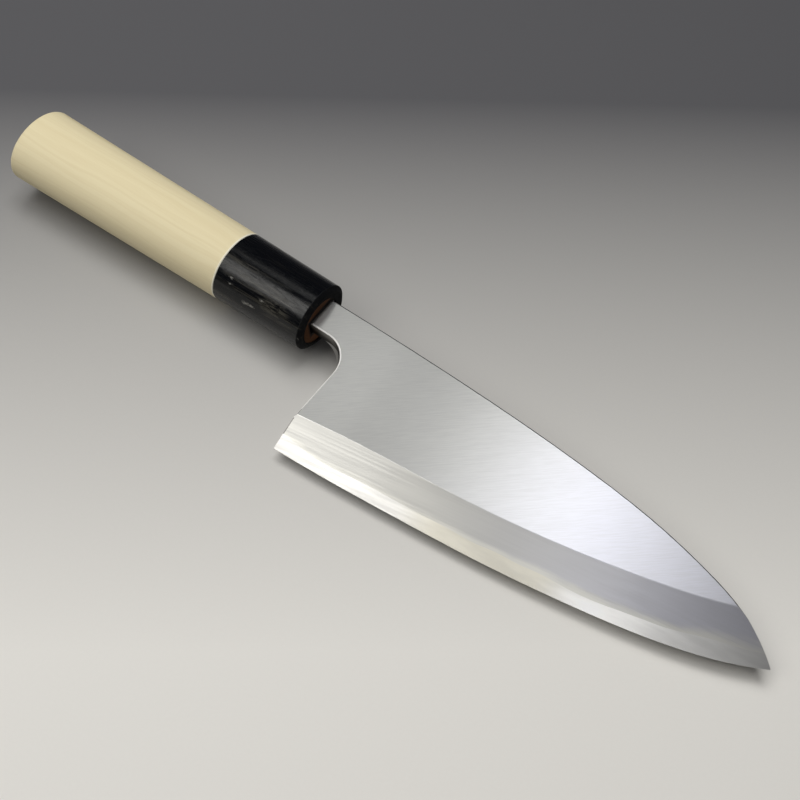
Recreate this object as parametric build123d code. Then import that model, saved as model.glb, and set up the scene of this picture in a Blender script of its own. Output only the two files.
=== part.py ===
from build123d import *
import math
import os

os.makedirs("parts", exist_ok=True)

# Right-handed deba, a heavy single-bevel kitchen knife, lying on a table with its bevelled side up.
# Every piece is first drawn in the knife's own frame: X runs from the butt to the tip, Y up to the
# spine and Z out of the bevelled side, with zero on the handle's axis at the ferrule's front.
# The whole knife is then laid down on the two places that carry it, the ferrule and the belly.

# Blade, as measured along the knife and square to it
blade_length = 160.0
blade_height = 52.75
neck_length = 16.8
neck_height = 11.55
spine_rise = 6.75
tip_drop = 25.05
tip_angle = 45.0
face_rise = 3.13
neck_thickness = 5.8
tip_thickness = 2.6
edge_land = 0.12
heel_lean = 0.9
corner_break = 0.5

# Choil, the round corner between the neck and the heel, wider at the back than at the face
choil_face_radius = 9.7
choil_back_radius = 13.4

# Spine, as shares of the blade's length and of the drop to the tip
spine_shares = [(0, 0), (0.125, 0.006), (0.365, 0.05), (0.556, 0.132), (0.703, 0.25),
                (0.822, 0.419), (0.92, 0.645), (1, 1)]

# Cutting edge, as shares of the blade's length and of the rise from the heel to the tip
edge_shares = [(-0.1, -0.02), (0.11, 0.036), (0.291, 0.126), (0.463, 0.229), (0.626, 0.368),
               (0.777, 0.538), (0.907, 0.755), (1, 1)]

# Ridge between the flat face and the bevel, as shares of the blade's length and height
ridge_shares = [(-0.1, 0.782), (0.11, 0.722), (0.29, 0.666), (0.45, 0.608), (0.6, 0.528),
                (0.735, 0.434), (0.85, 0.333), (0.92, 0.245)]

# Ends of the bevel's two outlines past the tip, where the grinding runs out into the air
edge_end_share = (1.16, 1.55)
ridge_end_share = (1.06, -0.01)

# Hard steel layer on the back, as shares of the blade's length and of the neck's thickness
steel_scarf = 12.0
weld_shares = [(-0.03, 0.5), (0.0, 0.43), (0.03, 0.365), (0.07, 0.285), (0.13, 0.26), (0.19, 0.27),
               (0.25, 0.263), (0.33, 0.257), (0.4, 0.243), (0.435, 0.23), (0.475, 0.244), (0.52, 0.223),
               (0.565, 0.222), (0.62, 0.186), (0.69, 0.169), (0.76, 0.175), (0.81, 0.17), (0.885, 0.184),
               (0.93, 0.165), (0.965, 0.147), (1.03, 0.1)]

# Hollow ground into the back, which leaves a flat rim all round. Each row is a share of the
# blade's length, two shares of its height below the spine, and a share of the hollow's depth.
hollow_depth = 0.55
hollow_shares = [(0.035, 0.42, 0.62, 0.08), (0.07, 0.2, 0.83, 0.45), (0.14, 0.09, 0.9, 0.85),
                 (0.3, 0.065, 0.885, 1), (0.5, 0.11, 0.81, 0.95), (0.68, 0.18, 0.72, 0.75),
                 (0.82, 0.27, 0.62, 0.4), (0.91, 0.4, 0.5, 0.12)]

# Tang, the tapered tail of the iron inside the handle
tang_length = 97.0
tang_end_height = 5.0
tang_end_thickness = 3.0

# Handle, an oval that narrows from the butt to the ferrule's front
handle_length = 132.9
butt_height = 30.1
butt_width = 23.7
joint_height = 26.6
joint_width = 23.8
front_height = 25.2
front_width = 23.1
butt_rounding = 1.3
joint_groove = 0.35

# Horn ferrule
ferrule_length = 36.8
ferrule_bore = 17.6
bore_drop = 0.9
front_bevel_length = 1.2
front_bevel_height = 1.7
horn_rounding = 0.35

# Brown wood core that joins the ferrule to the handle and grips the tang
core_length = 57.0
core_recess = 0.7
glue_gap = 0.05
tang_gap = 0.12
mouth_gap = 0.9
mouth_depth = 7.0
burn_pocket = 2.5

# Row of short flats that the stone leaves on the edge's belly, where the knife meets the table, and
# the share of the edge's length at which the row is centred
belly_flat = 2.0
belly_flats = 12
belly_share = 0.67

# Length by which every cutting shape runs past what it cuts
overrun = 5.0

# Places that follow from the sizes above
heel_x = neck_length
tip_x = neck_length + blade_length
back_z = face_rise - neck_thickness
edge_y = spine_rise - blade_height
neck_y = spine_rise - neck_height
face_slope = (neck_thickness - tip_thickness) / tip_x
bore_y = -bore_drop
bore_radius = ferrule_bore / 2
core_end_x = -core_length


def face_z(x):
    """Height of the flat face, which falls towards the tip as the blade thins."""
    return face_rise - face_slope * x


def edge_point(share):
    """Point of the cutting edge's outline at one row of its shares."""
    return (heel_x + share[0] * blade_length, edge_y + share[1] * (blade_height - tip_drop))


def ridge_point(share):
    """Point of the ridge's outline at one row of its shares."""
    return (heel_x + share[0] * blade_length, spine_rise - share[1] * blade_height)


def edge_lines():
    """Outline of the cutting edge from the heel to the tip, with its short flats at the belly."""
    curve = Spline(*[edge_point(row) for row in edge_shares])
    flat_share = belly_flat / curve.length
    first_share = belly_share - flat_share * belly_flats / 2
    shares = [first_share + flat_share * number for number in range(belly_flats + 1)]
    flats = [Line(curve @ start, curve @ end) for start, end in zip(shares, shares[1:])]
    return [curve.trim(0, shares[0]), *flats, curve.trim(shares[-1], 1)]


def flat_plane(height):
    """Plane parallel to the back."""
    return Plane(origin=(0, 0, height))


def face_plane(lift):
    """Plane parallel to the flat face."""
    return Plane(origin=(0, 0, face_rise + lift), z_dir=(face_slope, 0, 1))


def ruling_point(low, high, plane):
    """Point where the straight line through two points meets a plane."""
    start, end = Vector(*low), Vector(*high)
    along = end - start
    share = (plane.origin - start).dot(plane.z_dir) / along.dot(plane.z_dir)
    return start + along * share


def blade_blank():
    """Plan of the blade and neck, as thick as the neck, thinned by the sloping flat face."""
    fall = math.radians(tip_angle)
    spine = Spline(*[(heel_x + a * blade_length, spine_rise - b * tip_drop) for a, b in spine_shares],
                   tangents=[(1, 0), (math.cos(fall), -math.sin(fall))])
    edge = edge_lines()
    start = edge[0] @ 0
    outline = make_face([
        spine,
        *edge,
        Line(start, (0, start.Y)),
        Line((0, start.Y), (0, spine_rise)),
        Line((0, spine_rise), spine @ 0),
    ])
    blank = extrude(Pos(0, 0, back_z) * outline, neck_thickness + overrun)
    return split(blank, bisect_by=face_plane(0), keep=Keep.BOTTOM)


def choil_profile(radius, height):
    """Space under the neck and behind the heel, at one height."""
    lean = heel_lean * (neck_y - edge_y + overrun) / (neck_y - edge_y)
    corners = [(-overrun, neck_y), (heel_x, neck_y), (heel_x - lean, edge_y - overrun),
               (-overrun, edge_y - overrun)]
    outline = make_face(Polyline(*corners, close=True))
    corner = outline.vertices().sort_by_distance((heel_x, neck_y))[0]
    return Pos(0, 0, height) * fillet(corner, radius)


def choil_cutter():
    """Block that opens the space under the neck, with its round corner flaring to the back."""
    flare = (choil_back_radius - choil_face_radius) / neck_thickness
    low, high = back_z - overrun / 2, face_rise + overrun / 2
    low_radius = choil_back_radius + flare * (back_z - low)
    high_radius = choil_face_radius - flare * (high - face_rise)
    return loft([choil_profile(low_radius, low), choil_profile(high_radius, high)], ruled=True)


def bevel_cutter():
    """Block over the bevel, whose lower side runs straight from the edge up to the ridge."""
    low_plane, high_plane = flat_plane(back_z - overrun / 2), face_plane(overrun / 2)
    outwards = Vector(0, -blade_height, 0)
    sections = []
    for low_row, high_row in zip(edge_shares + [edge_end_share], ridge_shares + [ridge_end_share]):
        (low_x, low_y), (high_x, high_y) = edge_point(low_row), ridge_point(high_row)
        ends = (low_x, low_y, back_z + edge_land), (high_x, high_y, face_z(high_x))
        low, high = ruling_point(*ends, low_plane), ruling_point(*ends, high_plane)
        sections.append(make_face(Polyline(low, high, high + outwards, low + outwards, close=True)))
    return loft(sections)


def tang_block(gap=0):
    """Tapered tang behind the ferrule's front, grown all round by a gap."""
    middle_y, middle_z = (spine_rise + neck_y) / 2, (face_rise + back_z) / 2
    front = Plane(origin=(0, middle_y, middle_z), x_dir=(0, 1, 0), z_dir=(1, 0, 0))
    back = Plane(origin=(-tang_length, middle_y, middle_z), x_dir=(0, 1, 0), z_dir=(1, 0, 0))
    front_face = front * Rectangle(neck_height + 2 * gap, neck_thickness + 2 * gap)
    back_face = back * Rectangle(tang_end_height + 2 * gap, tang_end_thickness + 2 * gap)
    return loft([back_face, front_face], ruled=True)


def weld_cutter():
    """Block below the wavy weld between iron and steel, which runs out of the back at the neck."""
    scarf_start = heel_x - steel_scarf
    points = [(scarf_start - overrun, -overrun / 2), (scarf_start, 0)]
    points += [(heel_x + a * blade_length, b * neck_thickness) for a, b in weld_shares]
    outline = [Line(points[0], points[1]), Line(points[1], points[2]), Spline(*points[2:])]
    last = points[-1]
    outline += [Line(last, (last[0], -overrun)), Line((last[0], -overrun), (points[0][0], -overrun)),
                Line((points[0][0], -overrun), points[0])]
    side = Plane(origin=(0, spine_rise + overrun, back_z), x_dir=(1, 0, 0), z_dir=(0, -1, 0))
    return extrude(side * make_face(outline), blade_height + 2 * overrun)


def hollow_cutter():
    """Lens-shaped block that hollows the back, narrower and shallower towards both ends."""
    sections = []
    for place, high, low, depth in hollow_shares:
        top, bottom = (spine_rise - high * blade_height, 0), (spine_rise - low * blade_height, 0)
        crown = ((top[0] + bottom[0]) / 2, depth * hollow_depth)
        under_bottom, under_top = (bottom[0], -overrun), (top[0], -overrun)
        outline = make_face([ThreePointArc(top, crown, bottom), Line(bottom, under_bottom),
                             Line(under_bottom, under_top), Line(under_top, top)])
        station = Plane(origin=(heel_x + place * blade_length, 0, back_z), x_dir=(0, 1, 0), z_dir=(1, 0, 0))
        sections.append(station * outline)
    return loft(sections)


def blade_steel():
    """Whole blade, with its tang, before the weld parts it into iron and hard steel."""
    blank = blade_blank() - choil_cutter()
    face = blank.faces().sort_by(Axis.Z)[-1]
    corners = [corner for corner in face.edges() if corner.center().X > overrun / 2]
    broken = [corner for corner in corners if corner.center().X < heel_x or corner.center().Y > neck_y]
    blank = chamfer(broken, corner_break)
    return blank - bevel_cutter() - hollow_cutter() + tang_block()


def oval(x, height, width):
    """Section of the handle at one place along it."""
    return Plane(origin=(x, 0, 0), x_dir=(0, 1, 0), z_dir=(1, 0, 0)) * Ellipse(height / 2, width / 2)


def rod(radius, start_x, end_x):
    """Round bar on the bore's axis."""
    start = Plane(origin=(start_x, bore_y, 0), x_dir=(0, 1, 0), z_dir=(1, 0, 0))
    return extrude(start * Circle(radius), end_x - start_x)


def handle_body():
    """Oval of pale wood, bored for the core and burnt out behind it for the tang."""
    joint_x = -ferrule_length
    body = loft([oval(-handle_length, butt_height, butt_width), oval(joint_x, joint_height, joint_width)],
                ruled=True)
    body = fillet(body.faces().sort_by(Axis.X)[0].edges(), butt_rounding)
    body = chamfer(body.faces().sort_by(Axis.X)[-1].edges(), joint_groove)
    body -= rod(bore_radius, core_end_x, joint_x + overrun)
    return body - tang_block() - burn_out()


def burn_out():
    """Charred pocket left in front of the tang's end."""
    start = Plane(origin=(-tang_length - burn_pocket, (spine_rise + neck_y) / 2, (face_rise + back_z) / 2),
                  x_dir=(0, 1, 0), z_dir=(1, 0, 0))
    return extrude(start * Rectangle(tang_end_height, tang_end_thickness), burn_pocket)


def horn_ferrule():
    """Ring of horn, bevelled round its front, bored off centre for the core."""
    shoulder_x = -front_bevel_length
    front_cut = 2 * front_bevel_height
    ring = loft([oval(-ferrule_length, joint_height, joint_width),
                 oval(shoulder_x, front_height, front_width),
                 oval(0, front_height - front_cut, front_width - front_cut)], ruled=True)
    rims = [edge for edge in ring.edges() if edge.center().X > shoulder_x - overrun]
    ring = fillet(rims, horn_rounding)
    return ring - rod(bore_radius, -ferrule_length - overrun, overrun)


def tang_core():
    """Round core of brown wood, slotted for the tang, with the slot cut wider at its mouth."""
    core = rod(bore_radius - glue_gap, core_end_x, -core_recess)
    relief = Pos(-mouth_depth / 2, neck_y, (face_rise + back_z) / 2) * Box(mouth_depth, 2 * mouth_gap,
                                                                           neck_thickness)
    return core - tang_block(tang_gap) - relief


def resting_plane():
    """Table under the knife, which touches the ferrule's belly and the middle of the edge's flats."""
    flats = edge_lines()[1:-1]
    belly, along = flats[len(flats) // 2] @ 0, (flats[-1] @ 1) - (flats[0] @ 0)
    belly = Vector(belly.X, belly.Y, back_z)
    half_height, half_width = front_height / 2, front_width / 2
    up = Vector(0, 0, 1)
    for _ in range(6):
        reach = math.hypot(half_height * up.Y, half_width * up.Z)
        lowest = Vector(-front_bevel_length, -half_height ** 2 * up.Y / reach, -half_width ** 2 * up.Z / reach)
        up = along.cross(lowest - belly).normalized()
        up = up if up.Z > 0 else up * -1
    forward = Vector(1, 0, 0) - up * up.X
    return Plane(origin=(0, 0, 0), x_dir=forward, z_dir=up)


steel = blade_steel()
weld = weld_cutter()
pieces = {
    "blade_iron": steel - weld,
    "edge_steel": steel & weld,
    "handle_body": handle_body(),
    "horn_ferrule": horn_ferrule(),
    "tang_core": tang_core(),
}

table = resting_plane()
laid = {name: piece.moved(table.location.inverse()) for name, piece in pieces.items()}
box = Compound(list(laid.values())).bounding_box()
foot = Pos(-(box.min.X + box.max.X) / 2, -(box.min.Y + box.max.Y) / 2, -box.min.Z)
for name, piece in laid.items():
    export_step(piece.moved(foot), f"parts/{name}.step")
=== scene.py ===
import bpy
import math
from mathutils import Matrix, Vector


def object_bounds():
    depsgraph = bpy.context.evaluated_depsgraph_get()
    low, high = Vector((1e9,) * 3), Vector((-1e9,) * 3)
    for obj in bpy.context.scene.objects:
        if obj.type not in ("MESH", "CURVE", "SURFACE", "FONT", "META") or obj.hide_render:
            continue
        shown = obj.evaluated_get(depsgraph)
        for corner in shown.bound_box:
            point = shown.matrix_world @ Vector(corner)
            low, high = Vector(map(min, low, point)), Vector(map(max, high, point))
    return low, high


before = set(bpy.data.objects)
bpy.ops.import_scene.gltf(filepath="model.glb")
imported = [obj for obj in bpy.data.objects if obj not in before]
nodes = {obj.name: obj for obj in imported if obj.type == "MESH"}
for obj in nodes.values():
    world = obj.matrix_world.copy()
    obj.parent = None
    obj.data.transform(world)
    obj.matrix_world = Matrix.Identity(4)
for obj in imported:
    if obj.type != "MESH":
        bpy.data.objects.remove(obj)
cad_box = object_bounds()


# Soft iron body of the blade, forged in one piece with its neck and tang. Above the ridge it is
# ground flat with strokes that cross it at a slant. Below the ridge the stone runs lengthwise and
# leaves a misty grey, which lightens towards the weld with the hard steel.

# Place and turn of the knife's own axes, which start in the middle of the ferrule's front. They run
# along the knife, up to the spine and out of the bevelled side, and count in millimetres.
knife_origin = (-0.021719, 0.015087, 0.01154)
knife_turn = (0.158665, 0.027762, 0.0)
millimetre = 0.001

# Sizes of the blade and neck, whose flat face falls towards the tip
blade_length, neck_length = 160.0, 16.8
tip_place = neck_length + blade_length
neck_thickness, tip_thickness = 5.8, 2.6
face_rise = 3.13
face_slope = (neck_thickness - tip_thickness) / tip_place
back_height = face_rise - neck_thickness
heel_slope = -0.022

# Lines drawn along the blade, at shares of the way from the ferrule's front to the tip: the ridge's
# height in millimetres, the weld's height as a share of the neck's thickness, and the painted brightness
# of reflections on the flat and on the bevel. The heights of a line lie within its range.
ridge_line = [(0.0, -32.6), (0.18, -31.7), (0.35, -28.7), (0.54, -24.5), (0.71, -18.2), (0.83, -12.9),
              (0.93, -7.2), (1.0, -1.8)]
ridge_range = (-40.0, 0.0)
weld_line = [(0.0, 0.45), (0.122, 0.365), (0.158, 0.285), (0.213, 0.26), (0.267, 0.27), (0.321, 0.263),
             (0.394, 0.257), (0.457, 0.243), (0.489, 0.23), (0.525, 0.244), (0.566, 0.223), (0.606, 0.222),
             (0.656, 0.186), (0.719, 0.169), (0.783, 0.175), (0.828, 0.17), (0.896, 0.184), (0.937, 0.165),
             (0.968, 0.147), (1.0, 0.105)]
weld_range = (0.0, 1.0)
flat_painted_sheen_line = [(0.0, 0.96), (0.113, 1.01), (0.255, 0.84), (0.42, 0.92), (0.59, 1.01), (0.76, 0.94),
                    (1.0, 0.94)]
bevel_painted_sheen_line = [(0.0, 1.01), (0.25, 0.94), (0.34, 0.84), (0.5, 0.93), (0.67, 1.08), (0.78, 0.92),
                     (0.9, 0.8), (1.0, 0.81)]
painted_sheen_range = (0.7, 1.3)

# Patterns that grinding leaves, each with the size of one grain in millimetres and its angle to the
# handle. Higher detail and roughness break it up, and warp bends it.
face_angle, stone_angle, mist_angle = 39.6, 9, 8
face_stroke_grain = {"size": (8, 0.3, 3), "turn": face_angle, "detail": 1}
face_hair_grain = {"size": (7, 0.3, 3), "turn": face_angle, "detail": 3, "roughness": 0.6}
stone_stroke_grain = {"size": (34, 0.6, 0.6), "turn": stone_angle, "detail": 3, "roughness": 0.6}
mist_grain = {"size": (14, 2.6, 2.6), "turn": mist_angle, "detail": 3, "warp": 0.2}
mist_wander = 0.8

# Fades, each with its start and its end in millimetres, and then its two results if they aren't 0
# and 1. First come those that part the surfaces, and then those that change a surface's tone.
face_fade, break_fade = (-0.09, -0.03), (-0.62, -0.52)
choil_length_fade, choil_height_fade = (36.0, 34.0), (1.0, 0.0)
ridge_fade, heel_fade = (1.0, 0.6), (16.9, 17.3)
flat_tip_fade, bevel_tip_fade = (55.0, 125.0), (55.0, 165.0)
mist_fade = (0.6, 0.0)
# Fades of the painted shade on the neck's walls: darker away from the flat and beyond the neck's first
# millimetres
wall_drop_fade, wall_length_fade = (-4.6, -1.2), (12.0, 7.0, 0.1, 1.0)

# Fades that read a pattern's level instead of a place
face_hair_fade, stone_stroke_fade = (0.32, 0.72, 0.0, 0.34), (0.35, 0.8, 0.0, 0.2)
face_rough_fade, stone_rough_fade = (0.3, 0.7, 0.335, 0.345), (0.3, 0.7, 0.37, 0.43)
# Depth of the strokes in millimetres, and the share of it that is left on the flat
stroke_depth, face_relief = 0.0003, 0.2

face_tone, face_tip_tone = (0.68, 0.68, 0.66, 1), (0.645, 0.65, 0.71, 1)
mist_tone, mist_tip_tone = (0.61, 0.605, 0.58, 1), (0.555, 0.555, 0.61, 1)
mist_light_tone = (0.74, 0.73, 0.685, 1)
stroke_shade_tone = (0.50, 0.50, 0.50, 1)
# The walls' forged tone, and the near black of the painted shade on them
forged_tone, wall_painted_shade_tone = (0.40, 0.385, 0.36, 1), (0.05, 0.045, 0.04, 1)
# Painted highlight on the choil's chamfer, and painted dark reflection on the spine's chamfer
choil_painted_highlight_tone, spine_painted_shade_tone = (0.90, 0.89, 0.87, 1), (0.08, 0.08, 0.09, 1)


def put(tree, kind, inputs, **settings):
    """Adds a node with its settings. Its inputs take numbers, colours or other nodes' outputs."""
    made = tree.nodes.new(kind)
    for name, value in settings.items():
        setattr(made, name, value)
    for place, value in inputs.items():
        if isinstance(value, bpy.types.NodeSocket):
            tree.links.new(value, made.inputs[place])
        else:
            made.inputs[place].default_value = value
    return made


def maths(tree, operation, first, second=0.0):
    """Result of one sum on two values."""
    return put(tree, "ShaderNodeMath", {0: first, 1: second}, operation=operation).outputs[0]


def plus(tree, first, second):
    """One value added to another."""
    return maths(tree, "ADD", first, second)


def minus(tree, first, second):
    """First value less the second."""
    return maths(tree, "SUBTRACT", first, second)


def times(tree, first, second):
    """One value multiplied by another."""
    return maths(tree, "MULTIPLY", first, second)


def fade(tree, value, low, high, low_result=0.0, high_result=1.0):
    """Value carried smoothly from one range to another, and held at its ends."""
    return put(tree, "ShaderNodeMapRange", {"Value": value, "From Min": low, "From Max": high,
                                            "To Min": low_result, "To Max": high_result},
               interpolation_type="SMOOTHSTEP").outputs["Result"]


def mix(tree, share, first, second):
    """Blend of two colours."""
    return put(tree, "ShaderNodeMix", {0: share, 6: first, 7: second}, data_type="RGBA").outputs[2]


def scaled(tree, tone, share):
    """Colour made darker or lighter by a share."""
    return put(tree, "ShaderNodeVectorMath", {0: tone, 3: share}, operation="SCALE").outputs[0]


def grain(tree, place, size, turn=0.0, detail=2.0, roughness=0.5, warp=0.0):
    """Noise whose grains have a length, width and height, turned in the blade's plane."""
    spread = put(tree, "ShaderNodeMapping",
                 {"Vector": place, "Rotation": (0, 0, math.radians(turn)), "Scale": size},
                 vector_type="TEXTURE").outputs[0]
    return put(tree, "ShaderNodeTexNoise", {"Vector": spread, "Scale": 1.0, "Detail": detail,
                                            "Roughness": roughness, "Distortion": warp}).outputs[0]


def wander(tree, noise, amount):
    """Noise spread to both sides of zero by an amount."""
    noise_middle = 0.5
    return times(tree, minus(tree, noise, noise_middle), amount)


def knife_place(tree):
    """Place on the knife's own axes, whole and then as its three parts."""
    corner = tree.nodes.new("ShaderNodeTexCoord").outputs["Object"]
    place = put(tree, "ShaderNodeMapping", {"Vector": corner, "Location": knife_origin,
                                            "Rotation": knife_turn, "Scale": (millimetre,) * 3},
                vector_type="TEXTURE").outputs[0]
    parts = put(tree, "ShaderNodeSeparateXYZ", {0: place}).outputs
    return place, parts[0], parts[1], parts[2]


def line_value(tree, x, points, low, high):
    """Height at one place of a line drawn through points, whose heights lie between low and high."""
    curve = put(tree, "ShaderNodeFloatCurve", {"Value": maths(tree, "DIVIDE", x, tip_place)})
    drawn = curve.mapping.curves[0]
    first, *others, last = [(along, (height - low) / (high - low)) for along, height in points]
    drawn.points[0].location = first
    drawn.points[1].location = last
    for spot in others:
        drawn.points.new(*spot)
    curve.mapping.update()
    return put(tree, "ShaderNodeMapRange", {"Value": curve.outputs[0], "To Min": low, "To Max": high},
               clamp=False).outputs[0]


def surface(name, constants):
    """New material with its tree and shader, whose constant sockets are set."""
    made = bpy.data.materials.new(name)
    made.use_nodes = True
    shader = made.node_tree.nodes["Principled BSDF"]
    for socket, value in constants.items():
        shader.inputs[socket].default_value = value
    return made, made.node_tree, shader


def dress(tree, shader, tone, roughness, height, depth):
    """Joins a colour, a roughness and a relief of some depth in millimetres to a shader."""
    tree.links.new(tone, shader.inputs["Base Color"])
    tree.links.new(roughness, shader.inputs["Roughness"])
    relief = put(tree, "ShaderNodeBump", {"Height": height, "Distance": depth * millimetre, "Strength": 1.0})
    tree.links.new(relief.outputs[0], shader.inputs["Normal"])


def give(node, material):
    """Puts one material on every slot of a piece."""
    if not node.material_slots:
        node.data.materials.append(material)
    for slot in node.material_slots:
        slot.material = material


iron, tree, shader = surface("satin_iron", {})
place, x, y, z = knife_place(tree)
face_drop = plus(tree, times(tree, x, face_slope), minus(tree, z, face_rise))
on_face = fade(tree, face_drop, *face_fade)
off_face = minus(tree, 1.0, on_face)
on_break = fade(tree, face_drop, *break_fade)
on_choil = times(tree, fade(tree, x, *choil_length_fade), fade(tree, y, *choil_height_fade))
above_ridge = minus(tree, y, line_value(tree, x, ridge_line, *ridge_range))
past_heel = fade(tree, plus(tree, x, times(tree, y, heel_slope)), *heel_fade)
on_bevel = times(tree, fade(tree, above_ridge, *ridge_fade), past_heel)
face_strokes = grain(tree, place, **face_stroke_grain)
face_hairs = grain(tree, place, **face_hair_grain)
stone_strokes = grain(tree, place, **stone_stroke_grain)

weld_height = times(tree, line_value(tree, x, weld_line, *weld_range), neck_thickness)
over_weld = minus(tree, minus(tree, z, back_height), weld_height)
mist_edge = plus(tree, over_weld, wander(tree, grain(tree, place, **mist_grain), mist_wander))
bevel_tone = mix(tree, fade(tree, x, *bevel_tip_fade), mist_tone, mist_tip_tone)
bevel_tone = mix(tree, fade(tree, mist_edge, *mist_fade), bevel_tone, mist_light_tone)
bevel_tone = mix(tree, fade(tree, stone_strokes, *stone_stroke_fade), bevel_tone, stroke_shade_tone)
# The bevel's tone is scaled along the blade by a painted reflection brightness
bevel_tone = scaled(tree, bevel_tone, line_value(tree, x, bevel_painted_sheen_line, *painted_sheen_range))

# The neck's walls are painted dark towards their bottom and towards the tip as painted shade
wall_painted_light = times(tree, fade(tree, face_drop, *wall_drop_fade), fade(tree, x, *wall_length_fade))
wall_tone = mix(tree, wall_painted_light, wall_painted_shade_tone, forged_tone)
# The chamfers carry a painted highlight at the choil and a painted dark reflection along the spine
wall_tone = mix(tree, on_break, wall_tone, mix(tree, on_choil, spine_painted_shade_tone, choil_painted_highlight_tone))

flat_tone = mix(tree, fade(tree, x, *flat_tip_fade), face_tone, face_tip_tone)
flat_tone = mix(tree, fade(tree, face_hairs, *face_hair_fade), flat_tone, stroke_shade_tone)
# The flat's tone is scaled along the blade by a painted reflection brightness
flat_tone = scaled(tree, flat_tone, line_value(tree, x, flat_painted_sheen_line, *painted_sheen_range))

tone = mix(tree, on_face, mix(tree, on_bevel, wall_tone, bevel_tone), flat_tone)
rough = plus(tree, times(tree, on_face, fade(tree, face_strokes, *face_rough_fade)),
             times(tree, off_face, fade(tree, stone_strokes, *stone_rough_fade)))
height = plus(tree, times(tree, times(tree, on_face, face_relief), face_strokes),
              times(tree, off_face, stone_strokes))
# The metal is turned off on the choil's chamfer, so that its painted highlight shows pale
choil_painted_highlight_mask = times(tree, times(tree, on_break, off_face), times(tree, on_choil, minus(tree, 1.0, on_bevel)))
tree.links.new(minus(tree, 1.0, choil_painted_highlight_mask), shader.inputs["Metallic"])
dress(tree, shader, tone, rough, height, stroke_depth)
give(nodes["blade_iron"], iron)


# Hard steel layer forge-welded under the iron. It shows as the bright strip along the cutting edge,
# polished with the finest stone, and on the back, which is hollow ground inside a flat rim.
steel_tone, steel_warm_tone = (1.0, 0.99, 0.965, 1), (1.0, 0.965, 0.85, 1)
warm_start_fade, warm_end_fade = (58.0, 76.0), (120.0, 106.0)
# Painted brightness of the strip's reflections, at shares of the way to the tip
steel_painted_sheen_line = [(0.0, 0.62), (0.28, 0.73), (0.42, 0.67), (0.52, 0.73), (0.63, 0.82), (0.7, 0.98),
               (0.76, 0.93), (0.85, 0.65), (1.0, 0.52)]
steel_sheen_range = (0.0, 1.0)
edge_stroke_grain = {"size": (30, 0.6, 0.6), "turn": stone_angle}
edge_cloud_grain = {"size": (14, 3, 3), "turn": mist_angle, "detail": 3}
edge_cloud_fade, edge_rough_fade = (0.3, 0.7, 0.94, 1.05), (0.3, 0.7, 0.34, 0.4)

steel, tree, shader = surface("polished_steel", {"Metallic": 1.0})
place, x, y, z = knife_place(tree)
strokes = grain(tree, place, **edge_stroke_grain)
cloud = grain(tree, place, **edge_cloud_grain)
# Painted reflection brightness along the strip, broken by a random cloud of tone
sheen_and_cloud = times(tree, line_value(tree, x, steel_painted_sheen_line, *steel_sheen_range), fade(tree, cloud, *edge_cloud_fade))
warmth = times(tree, fade(tree, x, *warm_start_fade), fade(tree, x, *warm_end_fade))
tone = scaled(tree, mix(tree, warmth, steel_tone, steel_warm_tone), sheen_and_cloud)
dress(tree, shader, tone, fade(tree, strokes, *edge_rough_fade), strokes, stroke_depth)
give(nodes["edge_steel"], steel)


# Handle of pale wood, turned to an oval and rubbed smooth without varnish. Its grain runs lengthwise,
# its butt shows the end grain, and a fine groove is left where it meets the horn.
wood_tone, wood_dark_tone = (0.78, 0.69, 0.455, 1), (0.63, 0.515, 0.29, 1)
wood_painted_highlight_tone = (0.93, 0.89, 0.74, 1)
wood_gloss = {"Specular IOR Level": 0.35}
# Painted highlight along the arris at the front of the wood, where it meets the horn
joint_place, arris_length = -36.8, 0.45
arris_highlight_fade = (joint_place - 2 * arris_length, joint_place - arris_length)
# Year rings round the tree's heart, which lies outside the handle, and the fibres and pores along it
heart_y, heart_z = -52.0, -34.0
ring_sway, ring_sway_grain = 9.0, {"size": (70, 14, 14)}
ring_noise = {"Scale": 0.55, "Detail": 3.0, "Roughness": 0.6}
wood_fibre_grain = {"size": (14, 0.22, 0.22), "detail": 3, "roughness": 0.6}
wood_pore_grain = {"size": (2.6, 0.13, 0.13), "detail": 1}
ring_fade, fibre_fade, pore_fade = (0.35, 0.75, 0.0, 0.22), (0.45, 0.8, 0.0, 0.2), (0.68, 0.8, 0.0, 0.25)
wood_rough_fade = (0.3, 0.7, 0.5, 0.62)
pore_relief, wood_depth = -0.6, 0.012

wood, tree, shader = surface("pale_wood", wood_gloss)
place, x, y, z = knife_place(tree)
off_y = minus(tree, y, heart_y)
off_z = minus(tree, z, heart_z)
ring = maths(tree, "SQRT", plus(tree, times(tree, off_y, off_y), times(tree, off_z, off_z)))
ring = plus(tree, ring, wander(tree, grain(tree, place, **ring_sway_grain), ring_sway))
rings = put(tree, "ShaderNodeTexNoise", {"W": ring, **ring_noise}, noise_dimensions="1D").outputs[0]
fibres = grain(tree, place, **wood_fibre_grain)
pores = grain(tree, place, **wood_pore_grain)
share = plus(tree, fade(tree, rings, *ring_fade), fade(tree, fibres, *fibre_fade))
share = plus(tree, share, fade(tree, pores, *pore_fade))
tone = mix(tree, share, wood_tone, wood_dark_tone)
# Painted highlight along the arris where the wood meets the horn
tone = mix(tree, fade(tree, x, *arris_highlight_fade), tone, wood_painted_highlight_tone)
height = plus(tree, fibres, times(tree, pores, pore_relief))
dress(tree, shader, tone, fade(tree, fibres, *wood_rough_fade), height, wood_depth)
give(nodes["handle_body"], wood)


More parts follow.
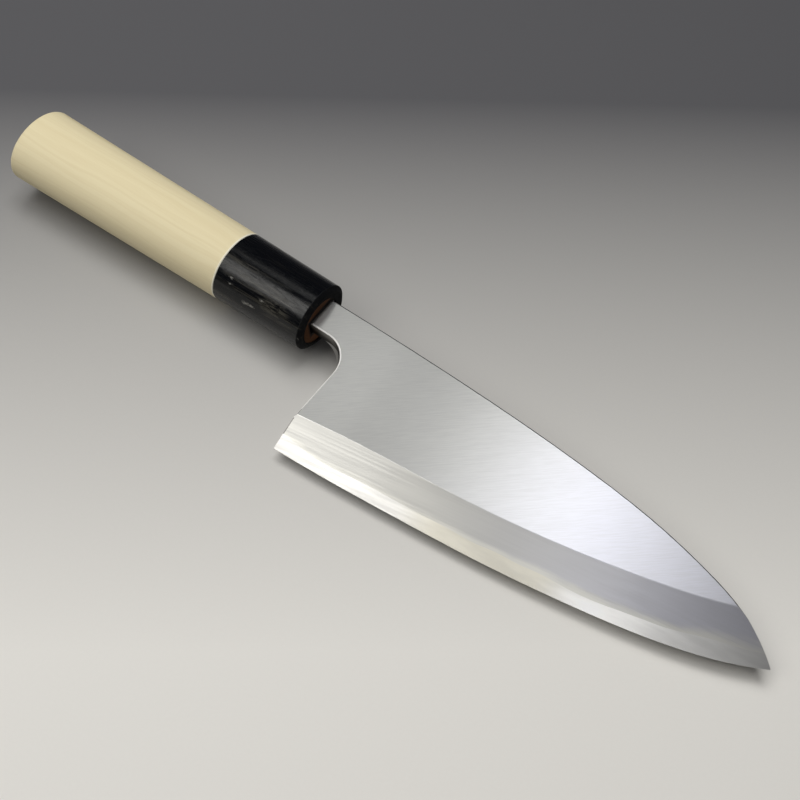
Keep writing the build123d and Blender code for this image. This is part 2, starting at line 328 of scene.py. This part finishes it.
# Ferrule of black buffalo horn, polished, with faint paler streaks along it and small marks of wear.
# It is bevelled round its front and bored for the core.
horn_tone, horn_streak_tone = (0.0016, 0.002, 0.003, 1), (0.045, 0.042, 0.034, 1)
horn_mark_tone = (0.18, 0.175, 0.16, 1)
horn_gloss = {"IOR": 1.5, "Specular IOR Level": 0.35}
horn_streak_grain = {"size": (26, 1.6, 1.6), "detail": 4, "roughness": 0.65, "warp": 0.3}
horn_cloud_grain = {"size": (7, 1.1, 1.1), "detail": 4, "roughness": 0.7, "warp": 1.2}
horn_fine_grain = {"size": (12, 0.3, 0.3)}
horn_streak_fade, horn_cloud_fade = (0.5, 0.74), (0.42, 0.62)
lower_side_fade, front_dull_fade = (1.0, -4.0, 0.1, 1.0), (-1.6, -1.0, 0.0, 0.75)
horn_rough_fade, horn_depth = (0.35, 0.65, 0.13, 0.34), 0.003
# Pale patch in the horn, with its centre and its half sizes in millimetres
patch_centre, patch_size = (-12.5, -9.6, 7.6), (7.0, 3.4, 3.4)
# Worn marks, each with its place in millimetres, its half length and its half width
horn_marks = [(-22.9, -11.9, 4.8, 1.9, 0.3), (-20.6, -11.8, 4.6, 1.6, 0.22), (-31.0, -8.5, 8.8, 0.9, 0.35),
              (-30.6, -10.0, 7.4, 0.9, 0.25), (-17.3, -9.4, 8.0, 0.9, 0.3), (-0.6, -11.9, 3.6, 0.6, 0.35)]
mark_angle, mark_half_depth, mark_roughness = 4, 2.0, 0.3
mark_rag, mark_rag_grain = 3.0, {"size": (0.5, 0.3, 0.5)}
# Fades at the edge of the patch and of a mark, in shares of their half sizes
patch_edge_fade, mark_edge_fade = (1.1, 0.5), (1.0, 0.4)


def reach_from(tree, place, centre, half_sizes, turn=0.0):
    """Distance from the centre of a patch, in shares of its half sizes."""
    within = put(tree, "ShaderNodeMapping", {"Vector": place, "Location": centre,
                                             "Rotation": (0, 0, math.radians(turn)), "Scale": half_sizes},
                 vector_type="TEXTURE").outputs[0]
    return put(tree, "ShaderNodeVectorMath", {0: within}, operation="LENGTH").outputs["Value"]


horn, tree, shader = surface("black_horn", horn_gloss)
place, x, y, z = knife_place(tree)
streaks = grain(tree, place, **horn_streak_grain)
cloud = grain(tree, place, **horn_cloud_grain)
in_patch = fade(tree, reach_from(tree, place, patch_centre, patch_size), *patch_edge_fade)
veil = times(tree, fade(tree, streaks, *horn_streak_fade), fade(tree, y, *lower_side_fade))
veil = maths(tree, "MAXIMUM", veil, times(tree, fade(tree, cloud, *horn_cloud_fade), in_patch))
ragged = wander(tree, grain(tree, place, **mark_rag_grain), mark_rag)
marks = 0.0
for along, up, out, half_length, half_width in horn_marks:
    reach = reach_from(tree, place, (along, up, out), (half_length, half_width, mark_half_depth), mark_angle)
    marks = maths(tree, "MAXIMUM", marks, fade(tree, plus(tree, reach, ragged), *mark_edge_fade))
tone = mix(tree, marks, mix(tree, veil, horn_tone, horn_streak_tone), horn_mark_tone)
rough = plus(tree, fade(tree, cloud, *horn_rough_fade), times(tree, marks, mark_roughness))
rough = plus(tree, rough, fade(tree, x, *front_dull_fade))
dress(tree, shader, tone, rough, grain(tree, place, **horn_fine_grain), horn_depth)
give(nodes["horn_ferrule"], horn)


# Round core of brown wood glued into the ferrule. The wood is darker round the slot that holds the
# neck.
core_tone, core_dark_tone = (0.30, 0.115, 0.035, 1), (0.012, 0.007, 0.005, 1)
core_gloss = {"Specular IOR Level": 0.3}
# Slot at the front of the core, as high and as thick as the neck that fills it
spine_rise, neck_height = 6.75, 11.55
slot_middle_y, slot_half_height = spine_rise - neck_height / 2, neck_height / 2
slot_middle_z, slot_half_width = face_rise - neck_thickness / 2, neck_thickness / 2
core_fibre_grain = {"size": (8, 0.35, 0.35), "detail": 3, "roughness": 0.6}
slot_dark_wander, slot_dark_fade = 0.8, (2.4, 1.4)
core_rough_fade, core_depth = (0.3, 0.7, 0.6, 0.75), 0.03


def beyond(tree, value, middle, half_size):
    """Distance by which a value lies outside the slot."""
    return minus(tree, maths(tree, "ABSOLUTE", minus(tree, value, middle)), half_size)


core, tree, shader = surface("brown_core", core_gloss)
place, x, y, z = knife_place(tree)
from_slot = maths(tree, "MAXIMUM", beyond(tree, y, slot_middle_y, slot_half_height),
                  beyond(tree, z, slot_middle_z, slot_half_width))
fibres = grain(tree, place, **core_fibre_grain)
# The wood darkens towards the slot
slot_darkening = fade(tree, plus(tree, from_slot, times(tree, fibres, slot_dark_wander)), *slot_dark_fade)
tone = mix(tree, slot_darkening, mix(tree, fibres, core_tone, core_dark_tone), core_dark_tone)
dress(tree, shader, tone, fade(tree, fibres, *core_rough_fade), fibres, core_depth)
give(nodes["tang_core"], core)


# Pale floor that falls a little towards the tip, a few millimetres under the knife, painted lighter
# towards the front and darker towards the back as painted light, with soft studio lights above it and
# the camera that sees the knife from above its edge side, as the photograph does.
floor_size, floor_gap, floor_slope = 4.0, 0.0034, math.radians(0.8)
floor_tone, floor_painted_shade_tone = (0.77, 0.755, 0.72, 1), (0.105, 0.105, 0.112, 1)
floor_speck_tone, floor_speck_share = (0.4, 0.4, 0.4, 1), 0.05
floor_speck = {"Scale": 900.0, "Detail": 2.0}
floor_finish = {"Specular IOR Level": 0.2, "Roughness": 0.7}
# Direction in which the floor's painted light grows, and the two places in metres between which it does
floor_run = (0.607, -0.795, 0)
floor_painted_light_span = {"From Min": -0.157, "From Max": 0.087}
world_tone = (0.04, 0.04, 0.043, 1)
# Each light with its place, the place that it faces, its sizes in metres, its watts and its tone. The
# ceiling's light is kept out of the reflections, so that it doesn't show in the polish.
lights = {
    "back_softbox": ((0.02, 0.26, 1.15), (0.08, 0, 0), (0.22, 0.42), 1.3, (1.0, 1.0, 1.0)),
    "left_softbox": ((-0.36, 0.2, 1.05), (0, 0, 0), (0.28, 0.3), 0.3, (1.0, 1.0, 0.97)),
    "front_softbox": ((-0.38, -0.54, 0.85), (0, 0, 0), (0.52, 0.6), 3.05, (1.0, 0.985, 0.945)),
    "top_softbox": ((0.23, -0.31, 1.0), (0.08, 0, 0), (0.26, 0.4), 0.6, (1.0, 1.0, 1.0)),
    "ceiling_softbox": ((-0.3, 0.12, 1.15), (0, 0, 0), (0.9, 0.9), 9.25, (1.0, 0.99, 0.97)),
}
unreflected_light = "ceiling_softbox"
camera_place, camera_degrees = (0.13605, -0.17735, 0.3063), (36.154, -2.207, 35.946)
camera_lens, camera_sensor = 51.418, 36.0

bpy.ops.mesh.primitive_plane_add(size=floor_size, location=(0, 0, cad_box[0][2] - floor_gap),
                                 rotation=(0, floor_slope, 0))
floor = bpy.context.object
floor.name = "floor"
ground, tree, shader = surface("pale_floor", floor_finish)
spot = tree.nodes.new("ShaderNodeTexCoord").outputs["Object"]
specks = put(tree, "ShaderNodeTexNoise", {"Vector": spot, **floor_speck}).outputs[0]
forward = put(tree, "ShaderNodeVectorMath", {0: spot, 1: floor_run}, operation="DOT_PRODUCT").outputs["Value"]
painted_light_share = put(tree, "ShaderNodeMapRange", {"Value": forward, **floor_painted_light_span}).outputs[0]
near_tone = mix(tree, times(tree, specks, floor_speck_share), floor_tone, floor_speck_tone)
# The floor is painted darker towards the back and lighter towards the front, as painted light
tree.links.new(mix(tree, painted_light_share, floor_painted_shade_tone, near_tone), shader.inputs["Base Color"])
give(floor, ground)

for name, (stand_place, faced_place, light_sizes, watts, light_tone) in lights.items():
    lamp = bpy.data.lights.new(name, "AREA")
    lamp.shape = "RECTANGLE"
    lamp.size, lamp.size_y = light_sizes
    lamp.energy, lamp.color = watts, light_tone
    stand = bpy.data.objects.new(name, lamp)
    stand.location = stand_place
    stand.rotation_euler = (Vector(stand_place) - Vector(faced_place)).to_track_quat("Z", "Y").to_euler()
    stand.visible_glossy = name != unreflected_light
    bpy.context.scene.collection.objects.link(stand)

world = bpy.data.worlds.new("studio")
world.use_nodes = True
world.node_tree.nodes["Background"].inputs[0].default_value = world_tone
bpy.context.scene.world = world
bpy.context.scene.view_settings.view_transform = "Standard"

lens = bpy.data.cameras.new("camera")
lens.lens, lens.sensor_width = camera_lens, camera_sensor
camera = bpy.data.objects.new("camera", lens)
camera.location = camera_place
camera.rotation_euler = [math.radians(angle) for angle in camera_degrees]
bpy.context.scene.collection.objects.link(camera)
bpy.context.scene.camera = camera
